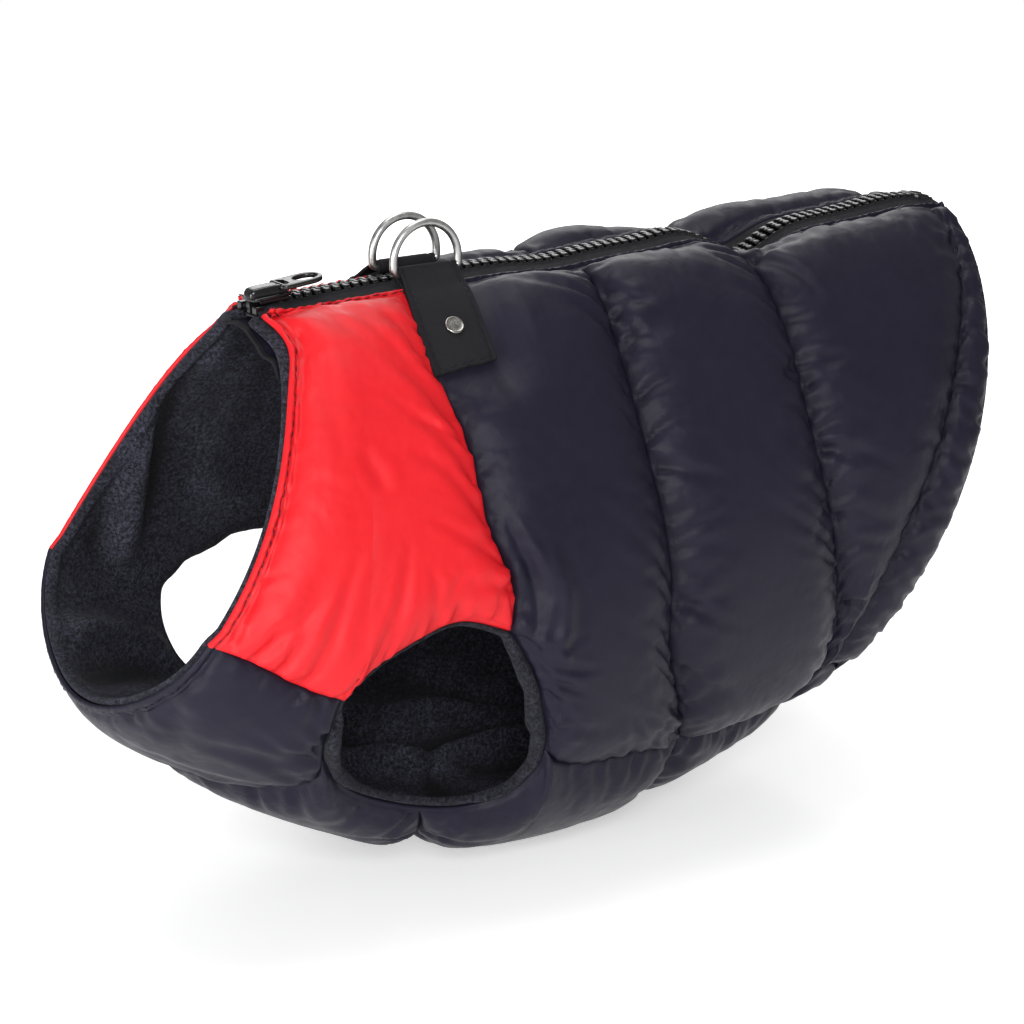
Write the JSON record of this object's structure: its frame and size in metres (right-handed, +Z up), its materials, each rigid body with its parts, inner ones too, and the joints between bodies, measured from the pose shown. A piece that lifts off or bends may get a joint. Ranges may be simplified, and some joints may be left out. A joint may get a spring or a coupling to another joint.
{
  "type": "padded dog vest",
  "caption": "Padded vest for a small dog, filled out, with a zip along the back, two leash rings on straps and open neck, hem and armholes.",
  "frame": {"origin": "where the dog's back holds the vest up: the middle of the zip guard's underside, below the two leash rings", "axes": "+X towards the tail along the dog's back, +Y to the dog's right side, +Z up"},
  "size_m": [0.2948, 0.1348, 0.1883],
  "materials": {
    "red_nylon": "glossy woven nylon, puffed",
    "dark_nylon": "glossy woven nylon, puffed",
    "fleece": "matt fleece with a short nap",
    "zip_tape": "matt woven tape",
    "zip_plastic": "glossy moulded plastic",
    "strap": "matt dense woven fabric",
    "satin_steel": "satin, bright",
    "nickel": "polished nickel"
  },
  "bodies": {
    "vest": {"left_yoke": "red_nylon", "right_yoke": "red_nylon", "left_body_1": "dark_nylon", "right_body_1": "dark_nylon", "left_body_2": "dark_nylon", "right_body_2": "dark_nylon", "left_body_3": "dark_nylon", "right_body_3": "dark_nylon", "left_hem_band": "dark_nylon", "right_hem_band": "dark_nylon", "chest_panel": "dark_nylon", "belly_1": "dark_nylon", "belly_2": "dark_nylon", "belly_3": "dark_nylon", "belly_4": "dark_nylon", "left_lining": "fleece", "right_lining": "fleece", "belly_lining": "fleece", "left_armhole_band": "fleece", "right_armhole_band": "fleece", "left_zip_tape": "zip_tape", "right_zip_tape": "zip_tape", "zip_guard": "dark_nylon", "zip_chain": "zip_plastic", "zip_slider": "zip_plastic", "zip_end_box": "zip_plastic", "left_ring_tab": "strap", "right_ring_tab": "strap", "left_rivet": "nickel", "right_rivet": "nickel"},
    "zip_pull": {"zip_pull": "zip_plastic"},
    "left_ring": {"left_ring": "satin_steel"},
    "right_ring": {"right_ring": "satin_steel"}
  },
  "joints": [
    {"name": "left_ring_swing", "type": "hinge", "parent": "vest", "child": "left_ring", "pos_m": [-0.0032, -0.0058, 0.00629], "axis": [1, 0, 0], "range_deg": [-12, 90]},
    {"name": "right_ring_swing", "type": "hinge", "parent": "vest", "child": "right_ring", "pos_m": [-0.0032, 0.0058, 0.00629], "axis": [-1, 0, 0], "range_deg": [-12, 90]},
    {"name": "zip_pull_lift", "type": "hinge", "parent": "vest", "child": "zip_pull", "pos_m": [-0.04665, 0, 0.00631], "axis": [0, -1, 0], "range_deg": [0, 130]}
  ]
}
